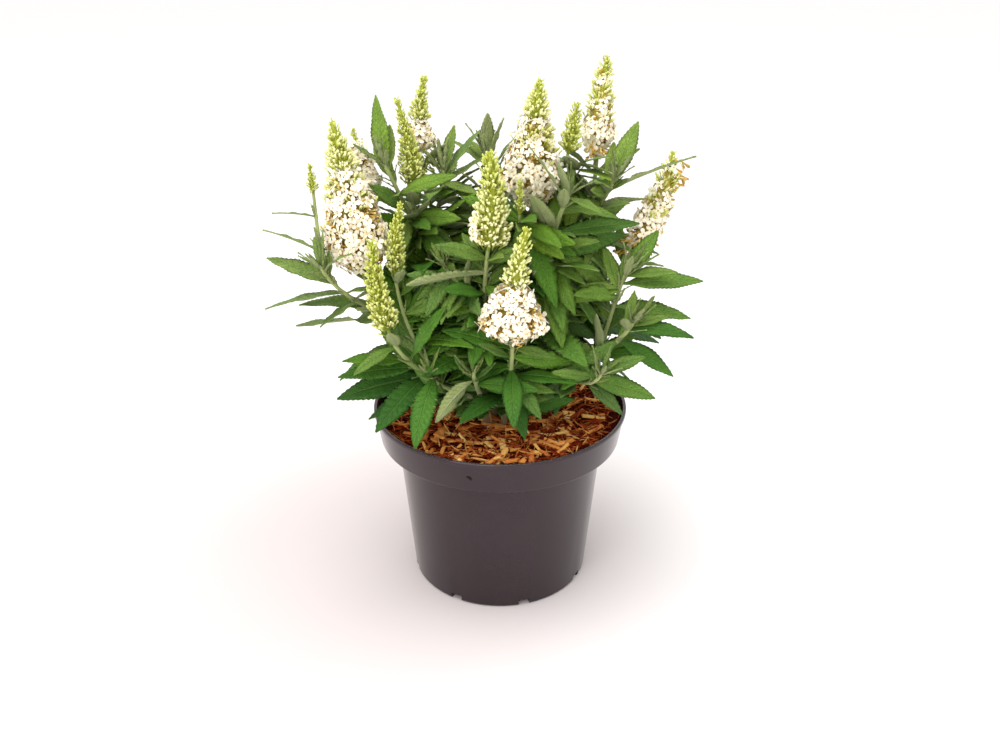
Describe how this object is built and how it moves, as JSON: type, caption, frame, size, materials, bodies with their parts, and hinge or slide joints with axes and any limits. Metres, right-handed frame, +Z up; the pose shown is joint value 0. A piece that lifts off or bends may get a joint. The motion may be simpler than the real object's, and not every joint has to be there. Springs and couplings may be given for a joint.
{
  "type": "potted butterfly bush",
  "caption": "Young butterfly bush in a round black nursery pot topped with bark, with long pointed leaves and upright spikes of white florets and lime-green buds.",
  "frame": {"origin": "middle of the pot's flat underside", "axes": "+Z up; seen from the front, with +Y away from the viewer, +X is to the right"},
  "size_m": [0.3028, 0.2242, 0.388],
  "materials": {
    "black_plastic": "gloss",
    "soil": "matte",
    "bark": "matte",
    "leaf_and_stem": "satin",
    "bud_green": "matte",
    "petal_white": "matte"
  },
  "bodies": {
    "root": {"pot": "black_plastic", "root_ball": "soil", "bark_mulch": "bark", "stem_left_tall": "leaf_and_stem", "stem_left_front": "leaf_and_stem", "stem_left_back": "leaf_and_stem", "stem_back_left": "leaf_and_stem", "stem_front": "leaf_and_stem", "stem_centre_front": "leaf_and_stem", "stem_centre": "leaf_and_stem", "stem_right_back": "leaf_and_stem", "stem_right": "leaf_and_stem", "stem_centre_right": "leaf_and_stem", "stem_right_low": "leaf_and_stem", "stem_front_low": "leaf_and_stem", "stem_back": "leaf_and_stem", "spike_left_tall_buds": "bud_green", "spike_left_bud_buds": "bud_green", "spike_left_front_buds": "bud_green", "spike_left_inner_buds": "bud_green", "spike_left_back_buds": "bud_green", "spike_back_left_buds": "bud_green", "spike_front_buds": "bud_green", "spike_centre_front_buds": "bud_green", "spike_centre_buds": "bud_green", "spike_centre_bud_buds": "bud_green", "spike_right_back_buds": "bud_green", "spike_right_back_bud_buds": "bud_green", "spike_right_buds": "bud_green", "spike_left_tall_florets": "petal_white", "spike_back_left_florets": "petal_white", "spike_front_florets": "petal_white", "spike_centre_florets": "petal_white", "spike_right_back_florets": "petal_white", "spike_right_florets": "petal_white"}
  },
  "joints": []
}
